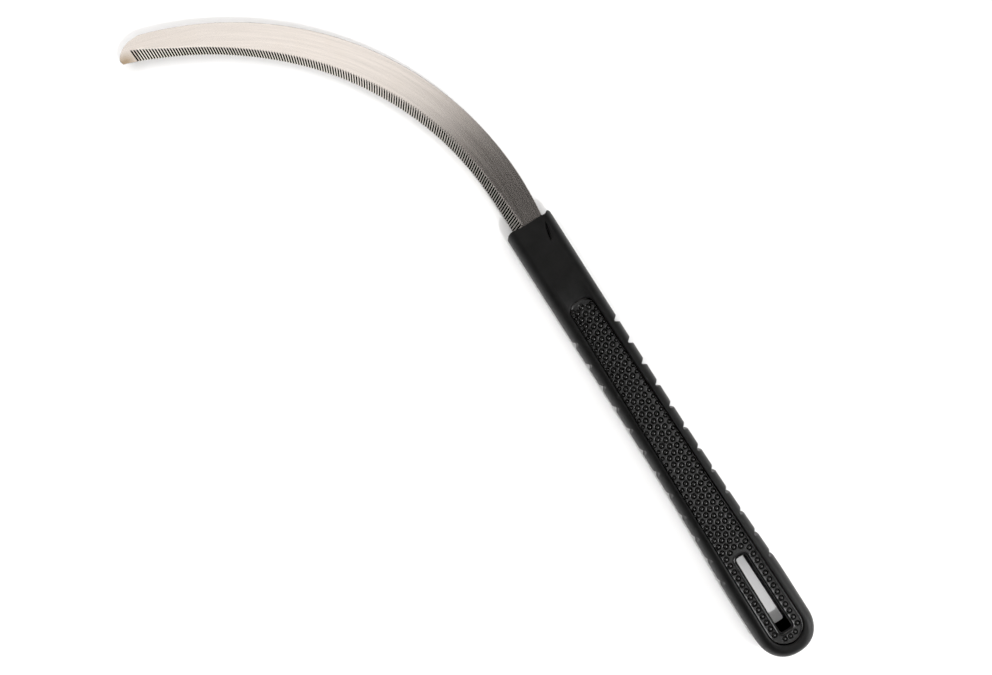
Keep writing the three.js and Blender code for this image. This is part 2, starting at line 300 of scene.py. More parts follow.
def blade_point(arc, inward):
    """Plan point at an arc length along the spine's circle and a distance in from it."""
    angle = np.asarray(arc, float) / SPINE_RADIUS
    radius = SPINE_RADIUS - inward
    x = SPINE_CENTRE[0] + radius * np.sin(angle)
    y = SPINE_CENTRE[1] - radius * np.cos(angle)
    return np.stack([x, y], -1)


def edge_inward(arc):
    """How far the toothed edge lies in from the spine's circle."""
    curve = spline(TOOTH_EDGE, np.linspace(0, 1, 400))
    return np.interp(arc, curve[:, 0], curve[:, 1])


def spine_inward(arc):
    """How far the spine lies in from its circle: less than 0 where it flicks out to the tip."""
    along = (np.asarray(arc) - SPINE_FLICK_START) / (SPINE_END - SPINE_FLICK_START)
    return -SPINE_FLICK * np.clip(along, 0, None) ** 2


def tooth_columns():
    """Arc lengths across the whole blade, with how much of a groove each one is in."""
    plain = np.arange(BLADE_ROOT, TOOTH_FIRST - TOOTH_PITCH, PLAIN_STEP)
    columns = [(arc, 0.0) for arc in plain]
    arc = TOOTH_FIRST
    while arc < TOOTH_LAST:
        pitch = TOOTH_PITCH * SPINE_RADIUS / (SPINE_RADIUS - float(edge_inward(arc)))
        columns.append((arc - 0.5 * pitch, 0.0))
        width = pitch * float(np.interp(arc, *GROOVE_WIDTH))
        columns += [(arc + step * width, depth) for step, depth in GROOVE_PROFILE]
        arc += pitch
    first = columns[-1][0] + TIP_COLUMN_GAP
    columns += [(value, 0.0) for value in np.linspace(first, BLADE_END, TIP_COLUMNS)]
    return np.array(columns)


def far_boundary(arc_edge, shift):
    """The point of the spine or tip that faces each point of the toothed edge."""
    straight = np.stack([arc_edge + shift, spine_inward(arc_edge + shift)], -1)
    start = TIP_TURN + float(shift[np.searchsorted(arc_edge, TIP_TURN)])
    lead = [(start, float(spine_inward(start)))]
    run = np.vstack([lead, spline(TIP, np.linspace(0, 1, 60))])
    length = np.concatenate([[0], np.cumsum(np.hypot(*np.diff(run, axis=0).T))])
    place = np.clip((arc_edge - TIP_TURN) / (BLADE_END - TIP_TURN), 0, 1) * length[-1]
    curved = np.stack([np.interp(place, length, run[:, k]) for k in (0, 1)], -1)
    return np.where((arc_edge < TIP_TURN)[:, None], straight, curved)


def blade_rows():
    """Plan points of the blade proper, row by row from the toothed edge, and groove depths."""
    arc, groove = tooth_columns().T
    edge = edge_inward(arc)
    stretch = SPINE_RADIUS / (SPINE_RADIUS - edge)
    band = groove_band(arc) * np.clip((BLADE_END - arc) / TIP_CLOSING, 0, 1)
    lean = np.tan(TOOTH_LEAN - TIP_UPRIGHT * smoothstep(arc, *UPRIGHT_ARC)) * stretch
    boundary = far_boundary(arc, band * lean)
    rows = []
    depths = []
    for share in GROOVE_ROWS:
        inset = share * band
        notch = SERRATION * groove * (1 - smoothstep(inset, 0, SERRATION_REACH))
        rows.append(np.stack([arc + (inset + notch) * lean, edge - inset - notch], -1))
        depths.append(groove_depth(share) * groove)
    inner = rows[-1]
    width = np.hypot(*(boundary - inner).T)
    last = 1 - np.minimum(SPINE_CHAMFER / np.maximum(width, TINY), CHAMFER_MOST)
    for share in FACE_ROWS:
        rows.append(inner + (boundary - inner) * (share * last)[:, None])
    rows.append(boundary)
    depths += [np.zeros(len(arc))] * (len(rows) - len(depths))
    plan = np.stack([blade_point(row[:, 0], row[:, 1]) for row in rows], 0)
    return plan, np.stack(depths, 0)


def groove_band(arc):
    """How far the grooves reach in from the toothed edge."""
    places, widths = np.array(GROOVE_BAND).T
    return np.interp(arc, places, widths)


def groove_depth(share):
    """Depth of a groove's middle, at a share of the band in from the toothed edge."""
    rising = GROOVE_DEEPEST - GROOVE_EDGE_SHALLOWER * (1 - smoothstep(share, 0, 0.2))
    return rising * max(0.0, 1 - share ** 1.7)


def tang_plan(first):
    """Plan points of the tang's columns, spaced across it like the blade's first column."""
    end, root = back_to_x((TANG_LENGTH, TANG_ROOT))
    turn = np.linspace(0, math.pi / 2, 7)
    straight = np.append(np.arange(end + TANG_CORNER + TANG_STEP, root, TANG_STEP), root)
    x = np.concatenate([end + TANG_CORNER * (1 - np.cos(turn)), straight])
    half = np.full(len(x), TANG_HALF)
    half[:len(turn)] -= TANG_CORNER * (1 - np.sin(turn))
    share = np.hypot(*(first - first[0]).T)
    y = half * (1 - 2 * share[:, None] / share[-1])
    return np.stack([np.broadcast_to(x, y.shape), y], -1)


def slab_faces(rows, columns):
    """Quads that close two grids, one above the other, whose rows meet in the blade's tip."""
    count = rows * columns
    index = np.arange(count).reshape(rows, columns)
    faces = []
    for grid in (index, index + count):
        quads = np.stack([grid[:-1, :-1], grid[1:, :-1], grid[1:, 1:], grid[:-1, 1:]], -1)
        faces += quads.reshape(-1, 4).tolist()
    for line in (index[0], index[-1], index[:, 0]):
        walls = np.stack([line[:-1], line[1:], line[1:] + count, line[:-1] + count], -1)
        faces += walls.tolist()
    return faces


def make_blade():
    plan, depths = blade_rows()
    tang = tang_plan(plan[:, 0])
    on_blade = np.concatenate([np.zeros(tang.shape[1]), np.ones(plan.shape[1])])
    plan = np.concatenate([tang, plan], 1)
    depths = np.concatenate([np.zeros(tang.shape[:2]), depths], 1)
    rows, columns = plan.shape[:2]

    # At the tip every row meets in one point, so the bevels fade out there.
    present = on_blade * np.clip(np.arange(columns, 0, -1) - 1, 0, 4) / 4
    chamfer = 0.8 * SPINE_CHAMFER * np.where(on_blade > 0, present, 1)
    top = np.full(plan.shape[:2], BLADE_TOP) - depths
    top[-1] -= chamfer
    bottom = np.full(plan.shape[:2], BLADE_BOTTOM)
    bottom[-1] += chamfer
    shares = np.array(list(GROOVE_ROWS) + [1.0] * (rows - len(GROOVE_ROWS)))
    rise = EDGE_BEVEL_RISE * np.clip(1 - shares / EDGE_BEVEL, 0, 1)
    bottom += rise[:, None] * present[None, :]
    top = np.maximum(top, bottom + THINNEST)

    upper = np.dstack([plan, top]).reshape(-1, 3)
    lower = np.dstack([plan, bottom]).reshape(-1, 3)
    faces = slab_faces(rows, columns)
    centre = (*SPINE_CENTRE, 0.0)
    blade = new_object("blade_fine", np.vstack([upper, lower]), faces, origin=centre)
    for x in back_to_x(RIVETS_BACK):
        low, high = BLADE_BOTTOM - TOOL_PAST, BLADE_TOP + TOOL_PAST
        cut(blade, rod_cutter(x, RIVET_RADIUS + GAP, low, high))
    mark_groove_shade_and_lands(blade)
    smooth(blade, 24)
    return blade


def mark_groove_shade_and_lands(blade):
    """Stores how far down in a groove each point lies, which the material paints as shade, and
    which points lie on the ground lands between grooves.
    """
    co = points_of(blade)
    below = BLADE_TOP - co[:, 2]
    inward = SPINE_RADIUS - np.hypot(co[:, 0], co[:, 1])
    arc = np.arctan2(co[:, 0], -co[:, 1]) * SPINE_RADIUS
    into_band = groove_band(arc) - (edge_inward(arc) - inward)
    in_band = (into_band > -BAND_BLUR) & (arc > BLADE_ROOT) & (arc < TOOTH_LAST + 5)
    in_band &= below < (BLADE_TOP - BLADE_BOTTOM) * 0.9
    # painted shade: the deeper a point lies in a groove, the darker its steel is painted
    groove = in_band * smoothstep(below, 0.0, GROOVE_SHADE_FROM)
    land = in_band * smoothstep(into_band, 0.0, BAND_BLUR) * (arc < TOOTH_LAST - 2)
    store_on_points(blade, "groove", groove)
    store_on_points(blade, "land", land * (1 - groove))


# ---------------- handle shells

LIP_CUT = ((0.2, 0), (0.1, 2.8), (0, 5.2), (-0.35, 7.3), (-0.45, 8.9), (-0.1, 10.2), (0.65, 11.3),
           (1.9, 12.3), (4, 13.4))
LIP_SPINE = ((0.2, 0), (0.2, 2.4), (0.15, 4.6), (0.2, 6.6), (0.5, 8.2), (0.3, 9.3), (-0.35, 10.1),
             (-0.35, 10.9), (0.6, 11.8), (1.9, 12.6), (4, 13.4))
LIP_END = 4.4
# the crease's line, from the mouth towards the inlay: back and y
CREASE = ((3.9, -7.0), (6, -6.55), (8.1, -6.2), (10.5, -5.5), (12.4, -4.6))
CREASE_STEPS = 25
CREASE_DEPTH = 1.3
CREASE_STEEP = 0.38
CREASE_GENTLE = 1.15
LIP_STEPS = 48
LIP_SIDE_STEPS = 12
LIP_FILLET = 0.3
ROUND_STEPS = 12
RECESS_CHAMFER = 0.5
NOTCH_SOFT = 0.16
# loops up the shell's rounded lower edge: inset, and height above the parting face
FOOT_LOOPS = ((0.16, 0.0), (0.04, 0.08), (0.0, 0.25))
FACE_LOOPS = (0.03, 0.08, 0.16, 0.28, 0.45, 0.7, 1.0)  # shares from the round to the inlay
# loops over the slot's boss: margin round the slot, and depth below the inlay's top
BOSS_LOOPS = ((SLOT_BOSS, 0.15), (SLOT_BOSS - 0.1, 0.05), (0.15, 0.05), (0.0, 0.2))
FAR_OUT = 1e3


def handle_half_width(back):
    """Half the handle's width without its notches, which flares towards the butt."""
    along = (np.asarray(back, float) - FLARE_START) / (FLARE_END - FLARE_START)
    flare = soft_min(np.clip(along, 0, None) ** 2, 1.0, 0.1)
    return (NECK_WIDTH + (BUTT_WIDTH - NECK_WIDTH) * flare) / 2


def quarter_end(end, side, half, corner, steps):
    """From an end's middle straight across and round its corner, towards side: back and half."""
    flat = half - corner
    run = np.linspace(0, flat + corner * math.pi / 2, steps)
    angle = np.clip((run - flat) / corner, 0, math.pi / 2)
    inward = corner * (1 - np.cos(angle))
    return np.stack([end + side * inward, np.minimum(run, flat) + corner * np.sin(angle)], -1)


def slot_half_width(back):
    share = np.clip((back - SLOT_START) / (SLOT_END - SLOT_START), 0, 1)
    return SLOT_NECK_HALF + (SLOT_BUTT_HALF - SLOT_NECK_HALF) * share


def side_backs():
    """Places along the handle's side: close together at the mouth and in every notch."""
    half = NOTCH_HALF_OPEN
    window = np.array([-half - 0.5, -half - 0.2, -half, -half + 0.2, -half + 0.45, -0.95, -0.7,
                       -NOTCH_HALF_FLOOR - 0.1, -NOTCH_HALF_FLOOR + 0.1, 0])
    window = np.concatenate([window, -window[-2::-1]])
    backs = list(np.arange(4.9, 17, 0.5)) + list(np.arange(18.5, NOTCH_FIRST - 3, 2.0))
    for i in range(NOTCHES):
        middle = NOTCH_FIRST + i * NOTCH_PITCH
        backs += list(middle + window)
        if i < NOTCHES - 1:
            backs += list(np.linspace(middle + 2.9, middle + NOTCH_PITCH - 2.9, 5))
    backs += list(np.linspace(backs[-1] + 1.5, HANDLE_LENGTH - BUTT_ROUND - 1, 14))
    return np.array(backs)


class HalfOutline:
    """One side of the handle seen from above, from the mouth's middle round to the butt's.

    Every loop of the shell has one point for each of these places, so loops join into quads."""

    def __init__(self, lip, sign):
        self.sign = sign
        self.lip = lip
        self.backs = side_backs()
        self.turns = np.linspace(0, math.pi / 2, 40)

    def mouth(self, limit):
        """The lip from its middle to the side, which lies at limit, and a little way along it."""
        run = np.linspace(0, 1, 400)
        reach = np.interp(limit, spline(self.lip, run)[:, 1], run)
        face = spline(self.lip, np.linspace(0, reach, LIP_STEPS))
        along = np.linspace(face[-1, 0], LIP_END, LIP_SIDE_STEPS + 1)[1:]
        line = np.vstack([face, np.stack([along, np.full(LIP_SIDE_STEPS, limit)], -1)])
        for _ in range(2):
            line[1:-1] = (line[:-2] + 2 * line[1:-1] + line[2:]) / 4
        return line

    def outer(self, inset, height):
        """The outline at one height, moved in by inset, with its notches and mouth fillet."""
        reach = min(1.0, max(0.0, (height - (TOP - LIP_FILLET)) / LIP_FILLET))
        fillet = LIP_FILLET * (1 - math.sqrt(1 - reach ** 2))
        mouth = self.mouth(NECK_WIDTH / 2 - inset)
        mouth[:, 0] += fillet * (1 - smoothstep(mouth[:, 0], 1.0, LIP_END))
        side_y = handle_half_width(self.backs) - inset
        side_y = soft_min(side_y, self.notch_limit(), NOTCH_SOFT)
        side = np.stack([self.backs, side_y], -1)
        along = np.sin(self.turns) ** (2 / BUTT_EXPONENT)
        across = np.clip(np.cos(self.turns), 0, None) ** (2 / BUTT_EXPONENT)
        start = HANDLE_LENGTH - BUTT_ROUND
        butt = np.stack([start + (BUTT_ROUND - inset) * along,
                         (BUTT_WIDTH / 2 - inset) * across], -1)
        return self.place(np.vstack([mouth, side, butt]), height)

    def notch_limit(self):
        """How far out the notches leave the side standing."""
        limit = np.full(len(self.backs), FAR_OUT)
        depth = NOTCH_DEPTH_CUT if self.sign > 0 else NOTCH_DEPTH_SPINE
        flank = depth / (NOTCH_HALF_OPEN - NOTCH_HALF_FLOOR)
        for i in range(NOTCHES):
            off = np.abs(self.backs - (NOTCH_FIRST + i * NOTCH_PITCH))
            wall = handle_half_width(self.backs) - depth
            wall = wall + np.clip(off - NOTCH_HALF_FLOOR, 0, None) * flank
            limit = np.minimum(limit, np.where(off < NOTCH_HALF_OPEN + 1, wall, FAR_OUT))
        return limit

    def inlay_border(self, margin, height):
        """The edge of the recess for the inlay."""
        half = INLAY_NECK_HALF + margin
        corner = INLAY_CORNER + margin
        start = INLAY_START - margin
        butt_half = INLAY_BUTT_HALF + margin
        near = self.backs < start + corner
        steps = LIP_STEPS + LIP_SIDE_STEPS + int(near.sum())
        neck = quarter_end(start, 1, half, corner, steps)
        far = np.clip(self.backs[~near], None, INLAY_BUTT_START)
        share = (far - start - corner) / (INLAY_BUTT_START - start - corner)
        side = np.stack([far, half + (butt_half - half) * share], -1)
        butt = np.stack([INLAY_BUTT_START + butt_half * np.sin(self.turns),
                         butt_half * np.cos(self.turns)], -1)
        return self.place(np.vstack([neck, side, butt]), height)

    def slot_border(self, margin, height):
        """The hanging slot's outline, or its boss's."""
        corner = SLOT_CORNER + margin
        start = SLOT_START - margin
        end = SLOT_END + margin
        before = self.backs < start + corner
        beside = ~before & (self.backs < end - corner)
        after = int((~before & ~beside).sum()) + len(self.turns)
        steps = LIP_STEPS + LIP_SIDE_STEPS + int(before.sum())
        neck = quarter_end(start, 1, SLOT_NECK_HALF + margin, corner, steps)
        along = self.backs[beside]
        side = np.stack([along, slot_half_width(along) + margin], -1)
        butt = quarter_end(end, -1, SLOT_BUTT_HALF + margin, corner, after)[::-1]
        return self.place(np.vstack([neck, side, butt]), height)

    def place(self, line, height):
        """A line of backs and half widths as points on this side of the handle."""
        x = back_to_x(line[:, 0])
        y = self.sign * line[:, 1]
        return np.stack([x, y, np.full(len(x), height)], -1)


def crease_cutter():
    """A curved sliver, steep on its outer side, for the short crease in the front face."""
    share = np.linspace(0, 1, CREASE_STEPS)
    line = spline(CREASE, share)
    swell = np.sin(share * math.pi) ** 0.7
    outer = CREASE_STEEP * (0.3 + 0.7 * swell)
    inner = CREASE_GENTLE * (0.1 + 0.9 * swell)
    slope = np.gradient(line, axis=0)
    across = np.stack([-slope[:, 1], slope[:, 0]], -1) / np.hypot(*slope.T)[:, None]
    above = 0.4
    deep = 0.02 + CREASE_DEPTH * swell
    rails = []
    for shift, height in ((-outer, TOP + above), (inner * (1 + above), TOP + above),
                          (inner, TOP), (0.25 * inner, TOP - deep), (-outer, TOP - deep)):
        edge = line + across * shift[:, None]
        z = np.broadcast_to(height, CREASE_STEPS)
        rails.append(np.stack([back_to_x(edge[:, 0]), edge[:, 1], z], -1))
    points = np.stack(rails, 1)
    count = points.shape[1]
    index = np.arange(CREASE_STEPS * count).reshape(CREASE_STEPS, count)
    beside = np.roll(index, -1, 1)
    walls = np.stack([index[:-1], beside[:-1], beside[1:], index[1:]], -1)
    faces = walls.reshape(-1, 4).tolist() + [index[0].tolist(), index[-1].tolist()]
    return new_object("cutter", points.reshape(-1, 3), faces)


def shell_points():
    """Loops of the front shell, from the parting plane over the face to the slot's wall."""
    halves = (HalfOutline(LIP_CUT, 1), HalfOutline(LIP_SPINE, -1))

    def loop(kind, *values):
        """One closed loop from its two halves, without doubled end points."""
        cut_side, spine_side = (getattr(half, kind)(*values) for half in halves)
        return np.vstack([cut_side, spine_side[-2:0:-1]])

    base = MID + PARTING
    floor = INLAY_BOTTOM - GAP
    loops = [loop("outer", inset, base + above) for inset, above in FOOT_LOOPS]
    for angle in np.linspace(0, math.pi / 2, ROUND_STEPS + 1):
        height = TOP - EDGE_DROP * (1 - math.sin(angle))
        loops.append(loop("outer", EDGE_ROUND * (1 - math.cos(angle)), height))
    rim = loops[-1]
    border = loop("inlay_border", GAP + RECESS_CHAMFER, TOP)
    loops += [rim + (border - rim) * share for share in FACE_LOOPS]
    loops.append(loop("inlay_border", GAP, TOP - 0.7 * RECESS_CHAMFER))
    loops.append(loop("inlay_border", GAP, floor))
    loops.append(loop("slot_border", SLOT_BOSS, floor))
    loops += [loop("slot_border", margin, INLAY_TOP - below) for margin, below in BOSS_LOOPS]
    loops.append(loop("slot_border", 0.0, base))
    # the parting face crosses to the notches straight from here
    loops.append(loop("inlay_border", 0.0, base))
    return np.stack(loops, 0)


def make_shell(name, front):
    loops = shell_points()
    count, around = loops.shape[:2]
    points = loops.reshape(-1, 3)
    if not front:
        points[:, 2] = 2 * MID - points[:, 2]
    index = np.arange(count * around).reshape(count, around)
    down = np.roll(index, -1, 0)
    faces = np.stack([index, np.roll(index, -1, 1), np.roll(down, -1, 1), down], -1)
    shell = new_object(name, points, faces.reshape(-1, 4).tolist())
    hollow_shell(shell, front)
    if front:
        cut(shell, crease_cutter())
    # marks the slot's walls for painted shade and a duller skin
    store_on_points(shell, "slot_wall_shade_and_dull", inside_slot(shell))
    smooth(shell, 35)
    return shell


def inside_slot(shell):
    """1 on the hanging slot's walls, which are left as rough as the mould made them and are
    painted darker as shade.
    """
    near = 0.05
    co = points_of(shell)
    back = MOUTH_X - co[:, 0]
    below = np.abs(co[:, 2] - MID) < INLAY_TOP - MID - 2 * near
    along = (back > SLOT_START - near) & (back < SLOT_END + near)
    across = np.abs(co[:, 1]) < slot_half_width(back) + near
    return (below & along & across).astype(float)


def mirrored(front, z0, z1):
    """A height range of the front shell, or the same range in the back shell."""
    return (z0, z1) if front else (2 * MID - z1, 2 * MID - z0)


def hollow_shell(shell, front):
    """Cuts the room for blade, tang and rivets, and the moulding's hollows, pegs and sockets."""
    half_blade = (BLADE_TOP - BLADE_BOTTOM) / 2 + GAP
    low, high = mirrored(front, MID - TOOL_PAST, MID + half_blade)
    ends = back_to_x((TANG_LENGTH + GAP, TANG_ROOT))
    cut(shell, box_cutter(*ends, -TANG_HALF - GAP, TANG_HALF + GAP, low, high))
    cut(shell, box_cutter(*back_to_x(BLADE_ROOM_BACK), *BLADE_ROOM_Y, low, high))
    floor = INLAY_BOTTOM - GAP
    for x in back_to_x(RIVETS_BACK):
        cut(shell, rod_cutter(x, RIVET_RADIUS + GAP, *mirrored(front, MID - TOOL_PAST, TOP)))
        seat = mirrored(front, floor - RIVET_HEAD - GAP, TOP)
        cut(shell, rod_cutter(x, RIVET_HEAD_RADIUS + GAP, *seat))
    low, high = mirrored(front, MID - TOOL_PAST, MID + CORE_POCKET_DEPTH)
    for ends in CORE_POCKETS_BACK:
        cut(shell, box_cutter(*back_to_x(ends), -CORE_POCKET_HALF, CORE_POCKET_HALF, low, high))
    low, high = MID - PEG_LENGTH, MID + PEG_ROOT
    for x in back_to_x(PEGS_BACK):
        if front:
            cut(shell, rod_cutter(x, PEG_RADIUS, low, high), "UNION")
        else:
            cut(shell, rod_cutter(x, PEG_RADIUS + GAP, low - SOCKET_SPARE, high))


# ---------------- grip inlays

INLAY_STEP = 0.2
STRIP_CELLS = 27
CENTRE_CELLS = 34
FIELD_DROP = 0.16
RIM_OUTER = 0.4
RIM_INNER = 0.75
PEBBLE_RADIUS = 1.42  # to the outer edge of the moat round it
PEBBLE_CROWN = 0.1
MOAT_DEPTH = 0.62
MOAT_MIDDLE = 0.76  # share of the radius where the moat is deepest
PEBBLE_PITCH = 3.42
PEBBLE_ROW = 2.98
PEBBLE_FIRST = 45.4
PEBBLE_SHIFT = (0.9, 0, 0.4, 0, 0)  # how far each row runs on past the even stagger
PEBBLE_MIDDLE = 0.25  # the middle row lies this far to the cutting side
PEBBLE_BORDER = 1.05  # from the middle of a border row's pebble to the inlay's edge, at least
PEBBLES_AT_BUTT = ((223.6, -2.8), (224.1, 0.1), (223.8, 2.9))
PEBBLE_CLEAR = 3.0  # the inner rows stop this far from the slot, and the outer ones end so too
PEBBLE_BATCH = 20000
RIM_ROUND = 0.16
RIM_ROUND_WIDTH = 0.28
# the middle strip of the mesh narrows to the opening's end over this length
CENTRE_EASE = 7
CENTRE_SHARE = 0.42
CENTRE_MOST = 0.6


def inlay_half_width(back):
    """Half the inlay's width, round its corners at the neck and its round end at the butt."""
    back = np.asarray(back, float)
    corner_end = INLAY_START + INLAY_CORNER
    share = np.clip((back - corner_end) / (INLAY_BUTT_START - corner_end), 0, 1)
    half = INLAY_NECK_HALF + (INLAY_BUTT_HALF - INLAY_NECK_HALF) * share
    before = np.clip(corner_end - back, 0, INLAY_CORNER)
    half = half - (INLAY_CORNER - np.sqrt(INLAY_CORNER ** 2 - before ** 2))
    after = np.clip(back - INLAY_BUTT_START, 0, INLAY_BUTT_HALF)
    return half - (INLAY_BUTT_HALF - np.sqrt(INLAY_BUTT_HALF ** 2 - after ** 2))


def hole_half_width(back):
    """Half the width of the inlay's opening round the slot's boss, and 0 beyond its ends."""
    back = np.asarray(back, float)
    outside = np.maximum(HOLE_START + HOLE_CORNER - back, back - (HOLE_END - HOLE_CORNER))
    reach = np.clip(outside, 0, HOLE_CORNER)
    rounding = HOLE_CORNER - np.sqrt(HOLE_CORNER ** 2 - reach ** 2)
    half = slot_half_width(back) + HOLE_MARGIN - rounding
    return np.where((back >= HOLE_START - TINY) & (back <= HOLE_END + TINY), half, 0.0)


def inlay_columns():
    """Places of the mesh's columns: even, but closer together round every curve."""
    bend = 1 - np.cos(np.linspace(0, math.pi / 2, 18))
    neck = INLAY_START + INLAY_CORNER * bend
    open_start = HOLE_START + HOLE_CORNER * bend
    open_end = (HOLE_END - HOLE_CORNER * bend)[::-1]
    # beyond the opening the butt's curve is stepped by angle
    first = math.asin((HOLE_END - INLAY_BUTT_START) / INLAY_BUTT_HALF)
    butt = INLAY_BUTT_START + INLAY_BUTT_HALF * np.sin(np.linspace(first, math.pi / 2, 34))

    def even(low, high):
        steps = max(2, round((high - low) / INLAY_STEP))
        return np.linspace(low, high, steps + 1)[1:-1]

    return np.concatenate([neck, even(neck[-1], HOLE_START), open_start,
                           even(open_start[-1], open_end[0]), open_end, butt[1:]])


def pebble_places():
    """(back, y, radius) of every pebble, in five staggered rows that keep to the inlay's taper."""
    pebbles = [(back, y, 0.9 * PEBBLE_RADIUS) for back, y in PEBBLES_AT_BUTT]
    end = INLAY_BUTT_START + PEBBLE_CLEAR
    for row in range(-2, 3):
        y = PEBBLE_MIDDLE + row * PEBBLE_ROW
        offset = 0.5 * PEBBLE_PITCH * (row % 2) + PEBBLE_SHIFT[row + 2]
        for back in np.arange(PEBBLE_FIRST + offset, end, PEBBLE_PITCH):
            half = float(inlay_half_width(back))
            beside_slot = SLOT_START - PEBBLE_CLEAR < back < SLOT_END + PEBBLE_CLEAR
            if abs(row) == 2:  # a border row, whose pebbles shrink where the inlay narrows
                place = math.copysign(min(abs(y), half - PEBBLE_BORDER), y)
                radius = PEBBLE_RADIUS * min(1.0, 0.55 + 0.5 * (half - abs(place) - 0.7))
                pebbles.append((back, place, radius))
            elif not beside_slot and half - abs(y) > PEBBLE_BORDER:
                pebbles.append((back, y, PEBBLE_RADIUS))
    return np.array(pebbles)


def inlay_height(back, y):
    """Height of the pebbled face above its field: crowns ringed by moats."""
    pebbles = pebble_places()
    share = np.empty(len(back))
    for i in range(0, len(back), PEBBLE_BATCH):
        part = slice(i, i + PEBBLE_BATCH)
        gap = np.hypot(back[part, None] - pebbles[None, :, 0], y[part, None] - pebbles[None, :, 1])
        share[part] = (gap / pebbles[None, :, 2]).min(1)
    crown = PEBBLE_CROWN - (PEBBLE_CROWN + MOAT_DEPTH) * (share / MOAT_MIDDLE) ** 2.3
    bank = -MOAT_DEPTH * (1 - smoothstep(share, MOAT_MIDDLE, 1.0))
    return np.where(share < MOAT_MIDDLE, crown, bank)


def inlay_widths(backs):
    """Half widths at each column of the inlay and of its middle strip, which the opening fills."""
    half = inlay_half_width(backs)
    away = np.maximum(HOLE_START - backs, backs - HOLE_END)
    end_hole = float(hole_half_width(HOLE_START))
    eased = end_hole + (CENTRE_SHARE * half - end_hole) * smoothstep(away, 0, CENTRE_EASE)
    eased = np.minimum(eased, CENTRE_MOST * half)
    is_open = away <= TINY
    return half, np.where(is_open, hole_half_width(backs), eased), is_open


def inlay_faces(columns, rows, open_column):
    """Faces of the pebbled top grid, of the four points a column below it, and of the walls."""
    grid = np.arange(columns * rows).reshape(columns, rows)
    low = grid.size + np.arange(columns * 4).reshape(columns, 4)
    first, last = STRIP_CELLS, rows - 1 - STRIP_CELLS
    start_column, end_column = np.flatnonzero(open_column)[[0, -1]]
    faces = []
    for i in range(columns - 1):
        is_open = start_column <= i < end_column
        for j in range(rows - 1):
            if not (is_open and first <= j < last):
                faces.append((grid[i, j], grid[i + 1, j], grid[i + 1, j + 1], grid[i, j + 1]))
        for k in range(3):
            if not (is_open and k == 1):
                faces.append((low[i, k], low[i, k + 1], low[i + 1, k + 1], low[i + 1, k]))
        walls = [(0, 0), (rows - 1, 3)] + ([(first, 1), (last, 2)] if is_open else [])
        for j, k in walls:
            faces.append((grid[i, j], grid[i + 1, j], low[i + 1, k], low[i, k]))
    faces.append(tuple(grid[0]) + tuple(low[0][::-1]))
    for column in (start_column, end_column):
        faces.append(tuple(grid[column, first:last + 1]) + (low[column, 2], low[column, 1]))
    return [tuple(int(v) for v in face) for face in faces]


def make_inlay(name, front):
    backs = inlay_columns()
    half, inner, open_column = inlay_widths(backs)
    strip = (half - inner)[:, None] * np.linspace(0, 1, STRIP_CELLS + 1)
    centre = inner[:, None] * np.linspace(-1, 1, CENTRE_CELLS + 1)
    grid_y = np.concatenate([strip - half[:, None], centre[:, 1:-1], inner[:, None] + strip], 1)
    columns, rows = grid_y.shape
    back, y = np.repeat(backs, rows), grid_y.reshape(-1)
    edge = border_distance(back, y)
    z = INLAY_TOP - FIELD_DROP + inlay_height(back, y) * smoothstep(edge, 0.05, RIM_OUTER)
    z += FIELD_DROP * (1 - smoothstep(edge, RIM_OUTER, RIM_INNER))
    z -= RIM_ROUND * (1 - smoothstep(edge, 0, RIM_ROUND_WIDTH))
    marks = np.stack([-half, -inner, inner, half], 1).reshape(-1)
    upper = np.column_stack([back_to_x(back), y, z])
    floor = np.full(marks.size, INLAY_BOTTOM)
    points = np.vstack([upper, np.column_stack([back_to_x(np.repeat(backs, 4)), marks, floor])])
    faces = inlay_faces(columns, rows, open_column)
    if not front:
        points[:, 2] = 2 * MID - points[:, 2]
    inlay = new_object(name, points, faces)
    store_on_points(inlay, "moat", moat_share(inlay))
    smooth(inlay, 40)
    return inlay


def moat_share(inlay):
    """How far down in a moat each point lies, where the rubber has kept its dull skin."""
    height = np.abs(points_of(inlay)[:, 2] - MID)
    below = INLAY_TOP - MID - FIELD_DROP - height
    return smoothstep(below, 0.1, 0.45)


def border_distance(back, y):
    """Rough distance from a point of the inlay to its outer edge or its opening."""
    corner_x = INLAY_START + INLAY_CORNER
    side = inlay_half_width(np.clip(back, corner_x, INLAY_BUTT_START)) - np.abs(y)
    butt = INLAY_BUTT_HALF - np.hypot(np.clip(back - INLAY_BUTT_START, 0, None), y)
    outer = np.where(back > INLAY_BUTT_START, butt, side)
    corner_y = INLAY_NECK_HALF - INLAY_CORNER
    dx = np.clip(corner_x - back, 0, None)
    dy = np.clip(np.abs(y) - corner_y, 0, None)
    outer = np.where(back < corner_x, INLAY_CORNER - np.hypot(dx, dy), outer)
    middle = (HOLE_START + HOLE_END) / 2
    length = (HOLE_END - HOLE_START) / 2 - HOLE_CORNER
    width = slot_half_width(back) + HOLE_MARGIN - HOLE_CORNER
    dx = np.clip(np.abs(back - middle) - length, 0, None)
    dy = np.clip(np.abs(y) - width, 0, None)
    return np.minimum(outer, np.hypot(dx, dy) - HOLE_CORNER)


# ---------------- materials

def feed(tree, socket, value):
    """Links a node's output to a socket, or sets the socket to a plain value."""
    if isinstance(value, bpy.types.NodeSocket):
        tree.links.new(value, socket)
    else:
        socket.default_value = value


